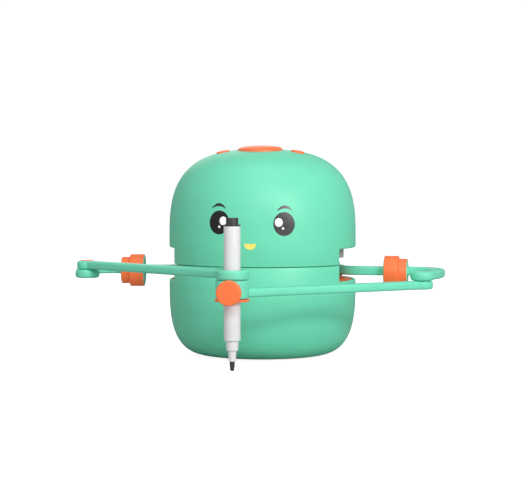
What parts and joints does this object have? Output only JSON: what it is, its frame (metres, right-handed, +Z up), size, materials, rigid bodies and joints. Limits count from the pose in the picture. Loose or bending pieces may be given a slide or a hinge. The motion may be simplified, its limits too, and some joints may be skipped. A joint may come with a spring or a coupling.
{
  "type": "desktop robot arm",
  "caption": "Round desktop drawing robot with a dome head, side slots, and a pair of hooked two-link arms meeting at a clamped marker pen.",
  "frame": {"origin": "centre of the base's underside, on the table", "axes": "+Z up, -Y out of the robot's face towards the pen, +X to the viewer's right when facing the robot"},
  "size_m": [0.2746, 0.2363, 0.1568],
  "materials": {
    "shell_green": "satin injection-moulded plastic",
    "arm_green": "satin injection-moulded plastic",
    "orange": "satin injection-moulded plastic",
    "light_grey": "fine matt moulded plastic",
    "dark_grey": "satin plastic",
    "white": "glossy marker barrel plastic",
    "steel": "bright",
    "rubber": "matt non-slip rubber",
    "board_green": "solder mask",
    "cell_blue": "shrink wrap",
    "motor_black": "moulded"
  },
  "bodies": {
    "body": {"base_shell": "shell_green", "head_shell": "shell_green", "bottom_cover": "shell_green", "foot_pad": "rubber", "deck_plate": "orange", "upper_plate": "light_grey", "button_board": "board_green", "main_board": "board_green", "battery_pack": "cell_blue", "left_motor": "motor_black", "right_motor": "motor_black", "lift_motor": "light_grey", "speaker": "dark_grey", "charge_inlet": "steel", "cover_screw_1": "steel", "cover_screw_2": "steel", "cover_screw_3": "steel", "cover_screw_4": "steel", "frame_screw_1": "steel", "frame_screw_2": "steel", "frame_screw_3": "steel", "frame_screw_4": "steel", "board_screw_1": "steel", "board_screw_2": "steel", "board_screw_3": "steel", "board_screw_4": "steel"},
    "lift_carriage": {"lift_carriage": "light_grey"},
    "lift_screw": {"lift_screw": "steel"},
    "power_button": {"power_button": "orange"},
    "left_top_button": {"left_top_button": "orange"},
    "right_top_button": {"right_top_button": "orange"},
    "power_switch": {"power_switch": "dark_grey"},
    "left_drive_shaft": {"left_drive_shaft": "steel"},
    "right_drive_shaft": {"right_drive_shaft": "steel"},
    "left_upper_arm": {"left_stub_arm": "arm_green", "left_outer_arm": "arm_green", "left_elbow_pin": "steel"},
    "right_upper_arm": {"right_stub_arm": "arm_green", "right_outer_arm": "arm_green", "right_elbow_pin": "steel"},
    "left_collar": {"left_collar": "orange"},
    "right_collar": {"right_collar": "orange"},
    "left_forearm": {"left_forearm": "arm_green", "left_elbow_cap": "orange"},
    "right_forearm": {"right_forearm": "arm_green", "right_elbow_cap": "orange", "pen_sleeve": "orange"},
    "clamp_knob": {"clamp_knob": "orange"},
    "pen": {"pen_barrel": "white", "pen_plug": "dark_grey", "pen_nose": "white", "pen_nib": "dark_grey"}
  },
  "joints": [
    {"name": "arm_lift", "type": "slide", "parent": "body", "child": "lift_carriage", "axis": [0, 0, 1], "range_m": [-0.001, 0.003]},
    {"name": "lift_screw_turn", "type": "hinge", "parent": "body", "child": "lift_screw", "pos_m": [0, 0.0213, 0.062], "axis": [0, 0, 1], "range_deg": [-100, 300]},
    {"name": "left_shoulder", "type": "hinge", "parent": "lift_carriage", "child": "left_upper_arm", "pos_m": [-0.052, 0.0213, 0.0627], "axis": [0, 0, 1], "range_deg": [-15, 18]},
    {"name": "right_shoulder", "type": "hinge", "parent": "lift_carriage", "child": "right_upper_arm", "pos_m": [0.052, 0.0213, 0.0627], "axis": [0, 0, 1], "range_deg": [-18.5, 15.5]},
    {"name": "left_elbow", "type": "hinge", "parent": "left_upper_arm", "child": "left_forearm", "pos_m": [-0.1224, -0.0519, 0.0664], "axis": [0, 0, 1], "range_deg": [-32, 27]},
    {"name": "right_elbow", "type": "hinge", "parent": "right_upper_arm", "child": "right_forearm", "pos_m": [0.1224, -0.0519, 0.0594], "axis": [0, 0, 1], "range_deg": [-27, 32]},
    {"name": "left_drive_turn", "type": "hinge", "parent": "body", "child": "left_drive_shaft", "pos_m": [-0.052, 0.0213, 0.062], "axis": [0, 0, 1], "range_deg": [-15.5, 18.5]},
    {"name": "right_drive_turn", "type": "hinge", "parent": "body", "child": "right_drive_shaft", "pos_m": [0.052, 0.0213, 0.062], "axis": [0, 0, 1], "range_deg": [-18.5, 15.5]},
    {"name": "left_collar_turn", "type": "hinge", "parent": "left_upper_arm", "child": "left_collar", "pos_m": [-0.1001, 0.0046, 0.0622], "axis": [-0.9945, -0.1045, 0], "range_deg": [0, 60]},
    {"name": "right_collar_turn", "type": "hinge", "parent": "right_upper_arm", "child": "right_collar", "pos_m": [0.1001, 0.0046, 0.0622], "axis": [0.9998, -0.0175, 0], "range_deg": [0, 60]},
    {"name": "clamp_turn", "type": "hinge", "parent": "right_forearm", "child": "clamp_knob", "pos_m": [0, -0.1488, 0.0578], "axis": [0, -1, 0], "range_deg": [-90, 90]},
    {"name": "pen_slide", "type": "slide", "parent": "right_forearm", "child": "pen", "axis": [0, 0, 1], "range_m": [-0.003, 0.03]},
    {"name": "power_button_press", "type": "slide", "parent": "body", "child": "power_button", "axis": [0, -0.0576, 0.9983], "range_m": [-0.0012, 0], "stiffness_N_per_m": 800, "springref_m": 0.001},
    {"name": "left_button_press", "type": "slide", "parent": "body", "child": "left_top_button", "axis": [-0.1906, -0.0886, 0.9777], "range_m": [-0.0009, 0], "stiffness_N_per_m": 500, "springref_m": 0.001},
    {"name": "right_button_press", "type": "slide", "parent": "body", "child": "right_top_button", "axis": [0.1906, -0.0886, 0.9777], "range_m": [-0.0009, 0], "stiffness_N_per_m": 500, "springref_m": 0.001},
    {"name": "power_switch_slide", "type": "slide", "parent": "body", "child": "power_switch", "axis": [1, 0, 0], "range_m": [0, 0.0035]}
  ],
  "couplings": [
    {"joint": "lift_screw_turn", "follows": "arm_lift", "rad_per_m": 1570.8},
    {"joint": "right_shoulder", "follows": "left_shoulder", "ratio": -1},
    {"joint": "left_elbow", "follows": "left_shoulder", "ratio": -1.7521},
    {"joint": "right_elbow", "follows": "left_shoulder", "ratio": 1.7521},
    {"joint": "left_drive_turn", "follows": "left_shoulder", "ratio": 1},
    {"joint": "right_drive_turn", "follows": "left_shoulder", "ratio": -1}
  ]
}
